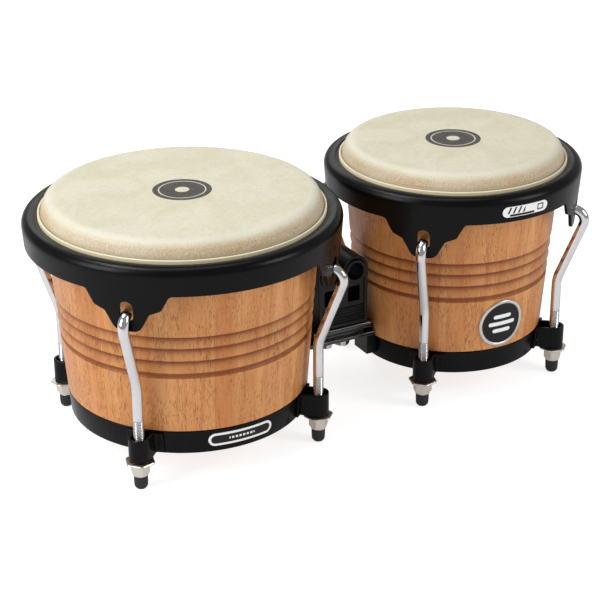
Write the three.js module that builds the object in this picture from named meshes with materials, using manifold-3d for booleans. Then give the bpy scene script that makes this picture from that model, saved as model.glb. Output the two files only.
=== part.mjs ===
// Bongo drums: a large and a small tapered wooden shell, held by brackets to a block between them.
// Each shell carries a rawhide head, a flesh hoop, a rolled rim with four slotted tabs, a bottom
// ring with four strap ears, and four tuning lugs: a hooked rod, a washer, a nut and a rubber tip.
// Millimetres, +Z up. The origin is the bottom centre of the bounding box, the drums stand on
// their rubber tips, the drum axes lie along X and the large drum is on the -X side.
import * as THREE from "three";
import { mergeVertices } from "three/addons/utils/BufferGeometryUtils.js";
import Module from "manifold-3d";

const wasm = await Module();
wasm.setup();

// ---------------------------------------------------------------- driving dimensions
const AXIS_SPACING = 240;
const SEGMENTS = 32; // facets round a drum; a lug direction always falls on an edge between two
const GAP = 0.3; // clearance between pieces that touch
const LOOSE_GAP = 0.5; // clearance where the facets of the two pieces don't line up

// Shell radius at the top of the bottom ring, the radius that head and rim are measured from, and
// the radius of the circle of tuning rods.
const LARGE = {
  name: "large",
  side: -1,
  shellRadius: 93.35,
  rimRadius: 90.1,
  rodCircle: 105.6,
};
const SMALL = {
  name: "small",
  side: 1,
  shellRadius: 76.95,
  rimRadius: 73.8,
  rodCircle: 90.1,
};
const LUG_ANGLES = [-135, -45, 45, 135];

// Shell: a cone that widens upwards, turned with three coves, each under a sharp ledge, and one
// plain groove below them.
const TAPER = 0.0746; // radius gained for each millimetre of height
const TAPER_DATUM = 41.1; // height at which shellRadius is stated
const SHELL_BOTTOM = 25.6;
const SHELL_WALL = 9.5;
const SHELL_SHOULDER = 172; // where the cone ends and the bearing edge begins
const COVES = { ledges: [101.4, 111.6, 121.1], depth: 1.3, drop: 1 };
const GROOVE = { bottom: 86.8, top: 91.6, depth: 1.7 };

// Rim: outer wall, rolled top and inner lip, with the tabs cut from the same wall.
const RIM_OFFSET = 30.3; // largest rim radius beyond rimRadius
const RIM_WIDEST = 176; // height of the largest radius
const RIM_LOWER_EDGE = 161.6;
const RIM_WALL = 2.6;
const TAB_BOTTOM = 132.5;
const TAB_OUTLINE = { tip: 7, side: 12, neck: 16.5, shoulder: 25.5, root: 31 }; // half widths
const SLOT = { width: 10, bottom: 140.8, top: 156 };

// Bottom ring, let into the foot of the shell, and its ears.
const RING_BOTTOM = 22.9;
const RING_TOP = 41.9;
const RING_WALL = 2.0;
const RING_LIP = 9; // width of the ledge under the shell
const EAR = { halfWidth: 8.2, wall: 2.4, bottom: 23.4, top: 42 };
const EAR_FLANGE = { halfWidth: 14, thickness: 1.4, bottom: 24.6, top: 40 };

// Tuning rod, washer, nut and rubber tip.
const ROD_RADIUS = 4;
const ROD_FOOT = 3.6; // lowest point of the rod, inside the rubber tip
const ROD_BEND = 84; // height at which the rod starts to lean outwards
const ROD_LEAN = THREE.MathUtils.degToRad(20.6);
const HOOK = { radius: 9, centreHeight: 136.6, reachPastRodCircle: 4 };
const WASHER = { bottom: 20.2, top: 23, rim: 21.4, corner: 11.8, underCorner: 8.6 };
const NUT = { bottom: 10.8, top: 19.9, acrossFlats: 13 };
const BORE = 4.6; // bore of the washer and the nut
const FOOT = { top: 10.4, radius: 5.3, flat: 3, bore: 4.4 };

// Centre block, bar, base plate, brackets and the bolts from below.
const BLOCK_X = 16.1;
const BLOCK = { width: 45.4, depth: 38, bottom: 61.9, shoulder: 109.8, archRadius: 11.2 };
const BLOCK_BORE = { offset: 11, height: 108, radius: 7, collar: 9.6, proud: 1.4 };
const WINDOW = { offset: 10.7, width: 10.5, bottom: 81.5, top: 94.5, depth: 14 };
const RIB_GROOVES = { heights: [65.5, 70.5, 75.5], height: 1.4, depth: 0.7 };
const BAR = { bottom: 54.6, top: 61.5, depth: 39, length: 53, round: 3 };
const BASE = { bottom: 48.4, top: 52.2, depth: 41, length: 60, round: 1 };
const SPACER = { width: 42, depth: 34 };
// Outline of a bracket as distance from the block's middle and height.
const BRACKET = {
  depth: 20,
  outline: [
    [27.9, 27], [40, 27], [40, 42.4], [36, 42.4], [31.8, 56], [27.9, 56],
  ],
};
const BLOCK_BOLTS = [
  { x: -11, y: -12 },
  { x: 2, y: -12 },
  { x: -2, y: 12 },
  { x: 11, y: 12 },
];
const BLOCK_BOLT = { radius: 2.5, top: 66, headTop: 48, headBottom: 43.6, acrossFlats: 8.4 };

// Badge and labels, all facing -Y.
const BADGE = { radius: 20.2, height: 64.4, thickness: 0.9 };
const RIM_LABEL = { width: 41, height: 8.6, centre: 170.4, thickness: 0.5 };
const RING_LABEL = { width: 52, height: 10.5, centre: 33.4, thickness: 0.5 };

// ---------------------------------------------------------------- materials
const MATERIALS = {
  wood: { color: 0xb9692f, roughness: 0.35, metalness: 0 },
  rawhide: { color: 0xe4dcb8, roughness: 0.6, metalness: 0 },
  blackSteel: { color: 0x17171a, roughness: 0.4, metalness: 0.3 },
  chrome: { color: 0xd9dce0, roughness: 0.08, metalness: 1 },
  nickel: { color: 0xc9c0ad, roughness: 0.28, metalness: 1 },
  rubber: { color: 0x1b1b1c, roughness: 0.85, metalness: 0 },
  castBlack: { color: 0x1c1c1e, roughness: 0.5, metalness: 0.2 },
  label: { color: 0xf2f2f2, roughness: 0.4, metalness: 0 },
  badge: { color: 0x26211e, roughness: 0.4, metalness: 0.2 },
};

// ---------------------------------------------------------------- helpers
const bongos = new THREE.Group();

function namedMesh(name, geometry, material) {
  const mesh = new THREE.Mesh(geometry, new THREE.MeshStandardMaterial(MATERIALS[material]));
  mesh.name = name;
  return mesh;
}

// A closed geometry as a manifold-3d solid, and back.
function toSolid(geometry) {
  const bare = geometry.clone();
  bare.deleteAttribute("normal");
  bare.deleteAttribute("uv");
  const merged = mergeVertices(bare, 1e-4);
  return new wasm.Manifold(
    new wasm.Mesh({
      numProp: 3,
      vertProperties: merged.attributes.position.array,
      triVerts: new Uint32Array(merged.index.array),
    }),
  );
}

function toGeometry(solid) {
  const made = solid.getMesh();
  const geometry = new THREE.BufferGeometry();
  geometry.setAttribute("position", new THREE.BufferAttribute(made.vertProperties, 3));
  geometry.setIndex(new THREE.BufferAttribute(made.triVerts, 1));
  return geometry.toNonIndexed();
}

// A profile of [radius, height] points turned about Z. A ring's profile is closed here.
function turned(profile, segments = SEGMENTS) {
  const points = profile.map(([radius, height]) => new THREE.Vector2(radius, height));
  if (THREE.ShapeUtils.area(points) < 0) points.reverse();
  const onAxis = points.some((point) => point.x === 0);
  if (!onAxis) points.push(points[0].clone());
  return new THREE.LatheGeometry(points, segments).rotateX(Math.PI / 2);
}

// An outline in the XY plane raised from one height to another.
function raised(outline, bottom, top, curveSegments = 8) {
  return new THREE.ExtrudeGeometry(outline, {
    depth: top - bottom,
    bevelEnabled: false,
    curveSegments,
  }).translate(0, 0, bottom);
}

// An outline of (tangential, height) points pushed along +X from one radius to another.
function pushedOut(outline, from, to, curveSegments = 8) {
  const geometry = new THREE.ExtrudeGeometry(outline, {
    depth: to - from,
    bevelEnabled: false,
    curveSegments,
  });
  return geometry.rotateX(Math.PI / 2).rotateZ(Math.PI / 2).translate(from, 0, 0);
}

function regularOutline(sides, corner, turn = 0) {
  const outline = new THREE.Shape();
  for (let side = 0; side < sides; side++) {
    const angle = turn + (2 * Math.PI * side) / sides;
    const x = corner * Math.cos(angle);
    const y = corner * Math.sin(angle);
    if (side === 0) outline.moveTo(x, y);
    else outline.lineTo(x, y);
  }
  outline.closePath();
  return outline;
}

function roundedOutline(width, height, radius, centreY = 0) {
  const right = width / 2;
  const top = centreY + height / 2;
  const bottom = centreY - height / 2;
  const outline = new THREE.Shape();
  outline.moveTo(-right + radius, bottom);
  outline.lineTo(right - radius, bottom);
  outline.absarc(right - radius, bottom + radius, radius, -Math.PI / 2, 0, false);
  outline.lineTo(right, top - radius);
  outline.absarc(right - radius, top - radius, radius, 0, Math.PI / 2, false);
  outline.lineTo(-right + radius, top);
  outline.absarc(-right + radius, top - radius, radius, Math.PI / 2, Math.PI, false);
  outline.lineTo(-right, bottom + radius);
  outline.absarc(-right + radius, bottom + radius, radius, Math.PI, 1.5 * Math.PI, false);
  return outline;
}

function block(width, depth, bottom, top, x = 0, y = 0) {
  return new THREE.BoxGeometry(width, depth, top - bottom).translate(x, y, (top + bottom) / 2);
}

// A cylinder along X, Y or Z, from one coordinate to another on that axis.
function rodAlong(axis, radius, from, to, segments = 12) {
  const geometry = new THREE.CylinderGeometry(radius, radius, to - from, segments);
  geometry.translate(0, (to + from) / 2, 0);
  if (axis === "x") geometry.rotateZ(-Math.PI / 2);
  if (axis === "z") geometry.rotateX(Math.PI / 2);
  return geometry;
}

const inRadians = THREE.MathUtils.degToRad;

// Outer radius of a shell's cone at a height, without its grooves.
function coneRadius(drum, height) {
  return drum.shellRadius + TAPER * (height - TAPER_DATUM);
}

// A solid cone that follows the shell's outer surface at an offset.
function coneSolid(drum, offset, bottom, top) {
  return toSolid(
    turned([
      [0, bottom],
      [coneRadius(drum, bottom) + offset, bottom],
      [coneRadius(drum, top) + offset, top],
      [0, top],
    ]),
  );
}

// A thin layer that hugs a cone between two offsets.
function coneLayer(drum, inner, outer, bottom, top) {
  return coneSolid(drum, outer, bottom, top).subtract(
    coneSolid(drum, inner, bottom - 1, top + 1),
  );
}

function drumX(drum) {
  return (drum.side * AXIS_SPACING) / 2 + (LARGE.rimRadius - SMALL.rimRadius) / 2;
}

// ---------------------------------------------------------------- shell and head
function shell(drum) {
  const outer = (height) => coneRadius(drum, height);
  const top = drum.rimRadius;
  const rebate = RING_WALL + GAP;
  const profile = [
    [outer(SHELL_BOTTOM) - rebate, SHELL_BOTTOM],
    [outer(RING_TOP + GAP) - rebate, RING_TOP + GAP],
    [outer(RING_TOP + GAP), RING_TOP + GAP],
    [outer(GROOVE.bottom), GROOVE.bottom],
    [outer(GROOVE.bottom + 1.2) - GROOVE.depth, GROOVE.bottom + 1.2],
    [outer(GROOVE.top - 1.2) - GROOVE.depth, GROOVE.top - 1.2],
    [outer(GROOVE.top), GROOVE.top],
  ];
  let ridge = GROOVE.top;
  for (const ledge of COVES.ledges) {
    const middle = (ridge + ledge) / 2;
    const deepest = ledge - COVES.drop;
    profile.push([outer(middle) - COVES.depth / 2, middle]);
    profile.push([outer(deepest) - COVES.depth, deepest]);
    profile.push([outer(ledge), ledge]);
    ridge = ledge;
  }
  profile.push([outer(SHELL_SHOULDER), SHELL_SHOULDER]);
  // The bearing edge: rounded outside, a crest, and a short chamfer inside.
  profile.push([top + 12.9, 184.5], [top + 12.2, 189], [top + 10.6, 192.3]);
  profile.push([top + 7.6, 194.2], [top + 4, 192.3]);
  profile.push([outer(SHELL_BOTTOM) - SHELL_WALL, SHELL_BOTTOM]);
  return turned(profile);
}

// The playing skin: flat, then rounded over the bearing edge.
function headProfile(drum) {
  const r = drum.rimRadius;
  return [
    [0, 196.3], [r + 7, 196.3], [r + 10, 195.9], [r + 12, 194.3], [r + 13.6, 191.5],
    [r + 14.5, 189.2], [r + 13.1, 188.6], [r + 12.8, 190.2], [r + 11.3, 193.2],
    [r + 7.7, 194.8], [0, 194.8],
  ];
}

// The skin below the bearing edge, wrapped round the flesh hoop under the rim's lip.
function fleshHoopProfile(drum) {
  const r = drum.rimRadius;
  return [
    [r + 14.9, 188.4], [r + 18, 181.4], [r + 18, 178.4], [r + 22, 178.6], [r + 25.2, 177.2],
    [r + 26, 174.2], [r + 25, 171.2], [r + 22, 169.8], [r + 18.8, 171], [r + 17, 174.4],
    [r + 16.4, 180.8], [r + 13.6, 187.9],
  ];
}

// ---------------------------------------------------------------- rim
// How far the rim's outer wall stands off the shell's cone.
function rimWallOffset(drum) {
  const widest = drum.rimRadius + RIM_OFFSET;
  return widest - coneRadius(drum, RIM_WIDEST);
}

function rimProfile(drum) {
  const r = drum.rimRadius;
  const lower = RIM_OFFSET - TAPER * (RIM_WIDEST - RIM_LOWER_EDGE);
  return [
    [r + lower, RIM_LOWER_EDGE],
    [r + RIM_OFFSET, RIM_WIDEST],
    [r + 29.4, 179.4], [r + 27.1, 181.8], [r + 23.8, 182.7],
    [r + 18.6, 181.3], [r + 18.4, 179.2],
    [r + 23.8, 180.1], [r + 26.3, 178.6],
    [r + RIM_OFFSET - RIM_WALL, 175.8],
    [r + lower - RIM_WALL, RIM_LOWER_EDGE],
  ];
}

function tabOutline() {
  const { tip, side, neck, shoulder, root } = TAB_OUTLINE;
  const outline = new THREE.Shape();
  outline.moveTo(0, TAB_BOTTOM);
  outline.quadraticCurveTo(tip + 2, TAB_BOTTOM, side, 138);
  outline.lineTo(neck, 146.4);
  outline.quadraticCurveTo(neck + 1.5, 149.6, shoulder, 150.4);
  outline.quadraticCurveTo(root - 1, 151.5, root, 160.6);
  outline.lineTo(root, 163);
  outline.lineTo(-root, 163);
  outline.lineTo(-root, 160.6);
  outline.quadraticCurveTo(-root + 1, 151.5, -shoulder, 150.4);
  outline.quadraticCurveTo(-neck - 1.5, 149.6, -neck, 146.4);
  outline.lineTo(-side, 138);
  outline.quadraticCurveTo(-tip - 2, TAB_BOTTOM, 0, TAB_BOTTOM);
  return outline;
}

function rim(drum) {
  const wallOffset = rimWallOffset(drum);
  const wall = coneLayer(drum, wallOffset - RIM_WALL, wallOffset, TAB_BOTTOM - 1, 163);
  const slotHeight = SLOT.top - SLOT.bottom;
  const slotOutline = roundedOutline(
    SLOT.width,
    slotHeight,
    3.5,
    SLOT.bottom + slotHeight / 2,
  );
  let solid = toSolid(turned(rimProfile(drum)));
  for (const angle of LUG_ANGLES) {
    const tab = toSolid(pushedOut(tabOutline(), 50, 150, 3)).rotate(0, 0, angle);
    const slot = toSolid(pushedOut(slotOutline, 50, 150, 2)).rotate(0, 0, angle);
    solid = solid.add(wall.intersect(tab)).subtract(slot);
  }
  return toGeometry(solid);
}

// ---------------------------------------------------------------- bottom ring
function bottomRing(drum) {
  const outer = (height) => coneRadius(drum, height);
  const inner = (height) => coneRadius(drum, height) - RING_WALL;
  const ledgeTop = SHELL_BOTTOM - GAP;
  const ledgeInner = drum.shellRadius - RING_LIP;
  let solid = toSolid(
    turned([
      [outer(RING_BOTTOM), RING_BOTTOM],
      [outer(RING_TOP), RING_TOP],
      [inner(RING_TOP), RING_TOP],
      [inner(ledgeTop), ledgeTop],
      [ledgeInner, ledgeTop],
      [ledgeInner, RING_BOTTOM],
    ]),
  );
  const { shellRadius, rodCircle } = drum;
  const strap = new THREE.Shape();
  const strapEnd = shellRadius - 6;
  strap.moveTo(strapEnd, -EAR.halfWidth);
  strap.lineTo(rodCircle, -EAR.halfWidth);
  strap.absarc(rodCircle, 0, EAR.halfWidth, -Math.PI / 2, Math.PI / 2, false);
  strap.lineTo(strapEnd, EAR.halfWidth);
  const opening = new THREE.Shape();
  const openRadius = EAR.halfWidth - EAR.wall;
  const openEnd = outer(RING_TOP) - 0.1;
  opening.moveTo(openEnd, -openRadius);
  opening.lineTo(rodCircle, -openRadius);
  opening.absarc(rodCircle, 0, openRadius, -Math.PI / 2, Math.PI / 2, false);
  opening.lineTo(openEnd, openRadius);
  const flangeBand = coneLayer(
    drum,
    -RING_WALL / 2,
    EAR_FLANGE.thickness,
    EAR_FLANGE.bottom,
    EAR_FLANGE.top,
  );
  const flangeSides = toSolid(
    block(60, 2 * EAR_FLANGE.halfWidth, RING_BOTTOM, RING_TOP, shellRadius),
  );
  const flange = flangeBand.intersect(flangeSides);
  const ear = toSolid(raised(strap, EAR.bottom, EAR.top, 4)).add(flange);
  const hole = toSolid(raised(opening, RING_BOTTOM - 1, EAR.top + 1, 4));
  const inside = coneSolid(drum, -RING_WALL / 2, RING_BOTTOM - 2, EAR.top + 2);
  const earOnly = ear.subtract(inside).subtract(hole);
  for (const angle of LUG_ANGLES) solid = solid.add(earOnly.rotate(0, 0, angle));
  return toGeometry(solid);
}

// ---------------------------------------------------------------- tuning lugs
// A path through chosen stations: each step of the extrusion lands on one of them.
class StationCurve extends THREE.Curve {
  constructor(stations) {
    super();
    this.stations = stations;
  }
  getPointAt(u) {
    return this.stations[Math.round(u * (this.stations.length - 1))].clone();
  }
  getTangentAt(u) {
    const last = this.stations.length - 1;
    const here = Math.round(u * last);
    const into = this.stations[here].clone().sub(this.stations[Math.max(here - 1, 0)]);
    const out = this.stations[Math.min(here + 1, last)].clone().sub(this.stations[here]);
    return into.normalize().add(out.normalize()).normalize();
  }
}

// Stations of the rod in the XZ plane, with +X pointing away from the drum's axis.
function rodStations(drum) {
  const { radius, centreHeight, reachPastRodCircle } = HOOK;
  const touchHeight = centreHeight - radius * Math.sin(ROD_LEAN);
  const touchX = drum.rodCircle + Math.tan(ROD_LEAN) * (touchHeight - ROD_BEND);
  const centreX = touchX - radius * Math.cos(ROD_LEAN);
  const stations = [new THREE.Vector3(drum.rodCircle, 0, ROD_FOOT)];
  // A soft bend of equal tangent lengths on either side of the corner.
  const tangentLength = 6;
  for (const t of [0, 0.5, 1]) {
    const below = (1 - t) * (1 - t);
    const above = t * t;
    stations.push(
      new THREE.Vector3(
        drum.rodCircle + above * tangentLength * Math.sin(ROD_LEAN),
        0,
        ROD_BEND - below * tangentLength + above * tangentLength * Math.cos(ROD_LEAN),
      ),
    );
  }
  const hookSteps = 5;
  for (let step = 0; step <= hookSteps; step++) {
    const angle = -ROD_LEAN + ((Math.PI / 2 + ROD_LEAN) * step) / hookSteps;
    stations.push(
      new THREE.Vector3(
        centreX + radius * Math.cos(angle),
        0,
        centreHeight + radius * Math.sin(angle),
      ),
    );
  }
  const endX = drum.rodCircle + reachPastRodCircle;
  stations.push(new THREE.Vector3(endX, 0, centreHeight + radius));
  return stations;
}

function tuningRod(drum) {
  const stations = rodStations(drum);
  const sides = 8;
  const section = regularOutline(sides, ROD_RADIUS, Math.PI / sides);
  return new THREE.ExtrudeGeometry(section, {
    steps: stations.length - 1,
    extrudePath: new StationCurve(stations),
  });
}

function washer() {
  const hexagon = toSolid(raised(regularOutline(6, WASHER.corner), WASHER.rim, WASHER.top));
  const taper = new THREE.CylinderGeometry(
    WASHER.corner,
    WASHER.underCorner,
    WASHER.rim - WASHER.bottom,
    6,
  );
  taper.rotateX(Math.PI / 2).rotateZ(Math.PI / 2);
  taper.translate(0, 0, (WASHER.rim + WASHER.bottom) / 2);
  const bore = toSolid(rodAlong("z", BORE, 0, 2 * WASHER.top));
  return toGeometry(hexagon.add(toSolid(taper)).subtract(bore));
}

function hexCorner(acrossFlats) {
  return acrossFlats / Math.sqrt(3);
}

function nut() {
  const outline = regularOutline(6, hexCorner(NUT.acrossFlats));
  const hole = new THREE.Path();
  hole.absarc(0, 0, BORE, 0, 2 * Math.PI, true);
  outline.holes.push(hole);
  return raised(outline, NUT.bottom, NUT.top, 6);
}

function foot() {
  const { top, radius, flat, bore } = FOOT;
  return turned(
    [
      [0, 0], [flat, 0], [radius - 0.8, 1.2], [radius, 3.4], [radius, top],
      [bore, top], [bore, ROD_FOOT - GAP], [0, ROD_FOOT - GAP],
    ],
    12,
  );
}

// ---------------------------------------------------------------- badge and labels
// A plate of a given outline that hugs a cone of the drum on its -Y side.
function huggingPlate(drum, outline, offset, thickness, bottom, top) {
  const layer = coneLayer(drum, offset + GAP, offset + GAP + thickness, bottom, top);
  const push = toSolid(pushedOut(outline, 40, 150, 4)).rotate(0, 0, -90);
  return toGeometry(layer.intersect(push));
}

function labelPlate(drum, label, offset) {
  const outline = roundedOutline(label.width, label.height, label.height / 2 - 0.1, label.centre);
  return huggingPlate(
    drum,
    outline,
    offset,
    label.thickness,
    label.centre - label.height,
    label.centre + label.height,
  );
}

function badge(drum) {
  const outline = roundedOutline(
    2 * BADGE.radius,
    2 * BADGE.radius,
    BADGE.radius - 0.05,
    BADGE.height,
  );
  const reach = BADGE.radius + 2;
  return huggingPlate(
    drum,
    outline,
    0,
    BADGE.thickness,
    BADGE.height - reach,
    BADGE.height + reach,
  );
}

// ---------------------------------------------------------------- one drum
function buildDrum(drum) {
  const group = new THREE.Group();
  group.position.x = drumX(drum);
  const { name } = drum;
  group.add(namedMesh(`${name}_shell`, shell(drum), "wood"));
  group.add(namedMesh(`${name}_head`, turned(headProfile(drum)), "rawhide"));
  group.add(namedMesh(`${name}_flesh_hoop`, turned(fleshHoopProfile(drum)), "rawhide"));
  group.add(namedMesh(`${name}_rim`, rim(drum), "blackSteel"));
  group.add(namedMesh(`${name}_bottom_ring`, bottomRing(drum), "blackSteel"));
  LUG_ANGLES.forEach((angle, index) => {
    const lug = new THREE.Group();
    lug.rotation.z = inRadians(angle);
    const number = index + 1;
    lug.add(namedMesh(`${name}_rod_${number}`, tuningRod(drum), "chrome"));
    const onRod = new THREE.Group();
    onRod.position.x = drum.rodCircle;
    onRod.add(namedMesh(`${name}_washer_${number}`, washer(), "nickel"));
    onRod.add(namedMesh(`${name}_nut_${number}`, nut(), "nickel"));
    onRod.add(namedMesh(`${name}_foot_${number}`, foot(), "rubber"));
    lug.add(onRod);
    group.add(lug);
  });
  return group;
}

// ---------------------------------------------------------------- centre block
function centreBlock() {
  const { width, depth, bottom, shoulder, archRadius } = BLOCK;
  const outline = new THREE.Shape();
  outline.moveTo(-width / 2, bottom);
  outline.lineTo(width / 2, bottom);
  outline.lineTo(width / 2, shoulder);
  outline.absarc(width / 2 - archRadius, shoulder, archRadius, 0, Math.PI, false);
  outline.absarc(-width / 2 + archRadius, shoulder, archRadius, 0, Math.PI, false);
  let solid = toSolid(
    raised(outline, -depth / 2, depth / 2, 6).rotateX(Math.PI / 2),
  );
  const front = depth / 2 + BLOCK_BORE.proud;
  for (const side of [-1, 1]) {
    const x = side * BLOCK_BORE.offset;
    const collar = rodAlong("y", BLOCK_BORE.collar, -front, front, 16);
    const bore = rodAlong("y", BLOCK_BORE.radius, -front - 1, front + 1, 12);
    solid = solid
      .add(toSolid(collar.translate(x, 0, BLOCK_BORE.height)))
      .subtract(toSolid(bore.translate(x, 0, BLOCK_BORE.height)));
    const windowX = side * WINDOW.offset;
    for (const face of [-1, 1]) {
      const y = (face * (depth + 2)) / 2 - (face * (WINDOW.depth + 1)) / 2;
      solid = solid.subtract(
        toSolid(block(WINDOW.width, WINDOW.depth + 1, WINDOW.bottom, WINDOW.top, windowX, y)),
      );
    }
  }
  for (const height of RIB_GROOVES.heights) {
    for (const face of [-1, 1]) {
      const low = height - RIB_GROOVES.height / 2;
      const high = height + RIB_GROOVES.height / 2;
      const y = (face * depth) / 2;
      const groove = block(width - 6, 2 * RIB_GROOVES.depth, low, high, 0, y);
      solid = solid.subtract(toSolid(groove));
    }
  }
  solid = solid.translate(BLOCK_X, 0, 0);
  return toGeometry(solid.subtract(blockBoltHoles(bottom - 1, BLOCK_BOLT.top + 1)));
}

function blockBoltHoles(bottom, top) {
  return BLOCK_BOLTS.map(({ x, y }) =>
    toSolid(
      rodAlong("z", BLOCK_BOLT.radius + LOOSE_GAP, bottom, top).translate(BLOCK_X + x, y, 0),
    ),
  ).reduce((holes, hole) => holes.add(hole));
}

// A flat bar with rounded front and back edges, along X.
function roundedBar({ bottom, top, depth, length, round }) {
  const outline = roundedOutline(depth, top - bottom, round, (top + bottom) / 2);
  return toSolid(pushedOut(outline, -length / 2, length / 2, 2).translate(BLOCK_X, 0, 0));
}

function clampBar() {
  return toGeometry(roundedBar(BAR).subtract(blockBoltHoles(BAR.bottom - 1, BAR.top + 1)));
}

// The base plate has a raised spacer that meets the bar above it.
function basePlate() {
  const spacer = block(SPACER.width, SPACER.depth, BASE.top - 1, BAR.bottom - GAP, BLOCK_X);
  const whole = roundedBar(BASE).add(toSolid(spacer));
  return toGeometry(whole.subtract(blockBoltHoles(BASE.bottom - 1, BAR.top)));
}

function blockBolt() {
  const corner = hexCorner(BLOCK_BOLT.acrossFlats);
  const { headBottom, headTop, top, radius } = BLOCK_BOLT;
  const head = toSolid(raised(regularOutline(6, corner), headBottom, headTop));
  return toGeometry(head.add(toSolid(rodAlong("z", radius, headTop - 1, top))));
}

// A bracket reaches from an end of the base plate, held in a notch, to a drum's bottom ring.
function bracket(drum) {
  const points = BRACKET.outline.map(([x, z]) => new THREE.Vector2(drum.side * x, z));
  const { depth } = BRACKET;
  const prism = raised(new THREE.Shape(points), -depth / 2, depth / 2).rotateX(Math.PI / 2);
  const whole = toSolid(prism.translate(BLOCK_X, 0, 0));
  const drumSide = coneSolid(drum, GAP, 0, BLOCK.shoulder).translate(drumX(drum), 0, 0);
  const notch = block(
    BASE.length + 2 * LOOSE_GAP,
    depth + 10,
    BASE.bottom - LOOSE_GAP,
    BASE.top + LOOSE_GAP,
    BLOCK_X,
  );
  return toGeometry(whole.subtract(drumSide).subtract(toSolid(notch)));
}

function buildCentre() {
  const group = new THREE.Group();
  group.add(namedMesh("centre_block", centreBlock(), "castBlack"));
  group.add(namedMesh("clamp_bar", clampBar(), "blackSteel"));
  group.add(namedMesh("base_plate", basePlate(), "blackSteel"));
  BLOCK_BOLTS.forEach(({ x, y }, index) => {
    const bolt = namedMesh(`block_bolt_${index + 1}`, blockBolt(), "nickel");
    bolt.position.set(BLOCK_X + x, y, 0);
    group.add(bolt);
  });
  for (const drum of [LARGE, SMALL]) {
    group.add(namedMesh(`${drum.name}_bracket`, bracket(drum), "castBlack"));
  }
  return group;
}

// ---------------------------------------------------------------- assembly
const largeDrum = buildDrum(LARGE);
const smallDrum = buildDrum(SMALL);
const rimLabel = labelPlate(SMALL, RIM_LABEL, rimWallOffset(SMALL));
largeDrum.add(namedMesh("large_ring_label", labelPlate(LARGE, RING_LABEL, 0), "label"));
smallDrum.add(namedMesh("small_rim_label", rimLabel, "label"));
smallDrum.add(namedMesh("small_badge", badge(SMALL), "badge"));
bongos.add(largeDrum, smallDrum, buildCentre());

export default bongos;
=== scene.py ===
import math

import bmesh
import bpy
from mathutils import Matrix, Vector, geometry, noise


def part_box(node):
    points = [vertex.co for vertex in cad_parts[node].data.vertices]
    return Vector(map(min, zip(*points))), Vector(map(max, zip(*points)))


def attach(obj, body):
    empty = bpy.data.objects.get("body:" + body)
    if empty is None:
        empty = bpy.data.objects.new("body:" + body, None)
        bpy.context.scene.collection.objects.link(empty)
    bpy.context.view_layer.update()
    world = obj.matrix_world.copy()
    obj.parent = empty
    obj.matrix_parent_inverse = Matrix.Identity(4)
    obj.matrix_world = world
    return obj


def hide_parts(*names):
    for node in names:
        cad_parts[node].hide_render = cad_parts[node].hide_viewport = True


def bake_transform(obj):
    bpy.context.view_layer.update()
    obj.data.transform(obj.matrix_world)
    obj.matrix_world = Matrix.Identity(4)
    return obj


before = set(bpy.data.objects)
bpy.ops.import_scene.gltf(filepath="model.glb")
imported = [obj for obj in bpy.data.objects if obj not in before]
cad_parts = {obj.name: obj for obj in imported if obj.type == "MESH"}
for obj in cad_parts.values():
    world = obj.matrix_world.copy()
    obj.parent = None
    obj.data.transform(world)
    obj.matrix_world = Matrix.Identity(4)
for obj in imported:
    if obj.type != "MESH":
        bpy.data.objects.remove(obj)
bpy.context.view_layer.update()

MM = 0.001
TAU = 2 * math.pi
SAME_POINT = 1e-7  # metres; closer points are one point
BEVEL_SEGMENTS = 2


# ---- the two drums, from the frame
TAPER = 0.0746  # radius gained by the shell for each millimetre of height
DATUM = 41.1  # height at which a shell's radius is stated
RING_TOP = 41.9  # height at which the bottom ring is widest, flush with the shell
HEAD_BEYOND = 14.5  # the CAD head's half width beyond the radius that head and rim start from
LUGS = (1, 2, 3, 4)


def centre_of(node):
    low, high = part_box(node)
    return (low + high) / 2 / MM


class Drum:
    """Where one drum stands in the frame, and how large it is."""

    def __init__(self, name):
        self.name = name
        head_low, head_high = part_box(f"{name}_head")
        self.x = (head_low.x + head_high.x) / 2 / MM
        self.radius = (head_high.x - head_low.x) / 2 / MM - HEAD_BEYOND
        ring_low, ring_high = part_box(f"{name}_bottom_ring")
        ring_radius = (ring_high.x - ring_low.x) / 2 / MM
        self.shell_radius = ring_radius - TAPER * (RING_TOP - DATUM)
        self.tuning = f"{name}_tuning"
        self.feet = [centre_of(f"{name}_foot_{lug}") for lug in LUGS]
        first = self.feet[0]
        self.rod_circle = math.hypot(first.x - self.x, first.y)
        self.lug_angles = [math.atan2(foot.y, foot.x - self.x) for foot in self.feet]

    def cone(self, height, offset=0.0):
        return self.shell_radius + TAPER * (height - DATUM) + offset


LARGE, SMALL = Drum("large"), Drum("small")
DRUMS = (LARGE, SMALL)


# ---- mesh helpers
def make_piece(name, vertices, faces, materials, smooth_degrees=35, place=None):
    """A mesh object from vertices in millimetres. place is an optional matrix in metres."""
    mesh = bpy.data.meshes.new(name)
    mesh.from_pydata([Vector(v) * MM for v in vertices], [], faces)
    mesh.update()
    for material in materials if isinstance(materials, (list, tuple)) else [materials]:
        mesh.materials.append(material)
    smooth(mesh, smooth_degrees)
    piece = bpy.data.objects.new(name, mesh)
    bpy.context.scene.collection.objects.link(piece)
    if place is not None:
        piece.matrix_world = place
    return piece


def smooth(mesh, degrees):
    for polygon in mesh.polygons:
        polygon.use_smooth = True
    mesh.set_sharp_from_angle(angle=math.radians(degrees))


def copy_piece(piece, name, place):
    copied = bpy.data.objects.new(name, piece.data)
    bpy.context.scene.collection.objects.link(copied)
    copied.matrix_world = place
    return copied


def bevel(piece, width, degrees=40):
    made = piece.modifiers.new("soft_edges", "BEVEL")
    made.width = width * MM
    made.segments = BEVEL_SEGMENTS
    made.limit_method = "ANGLE"
    made.angle_limit = math.radians(degrees)
    made.use_clamp_overlap = False
    made.harden_normals = False


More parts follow.
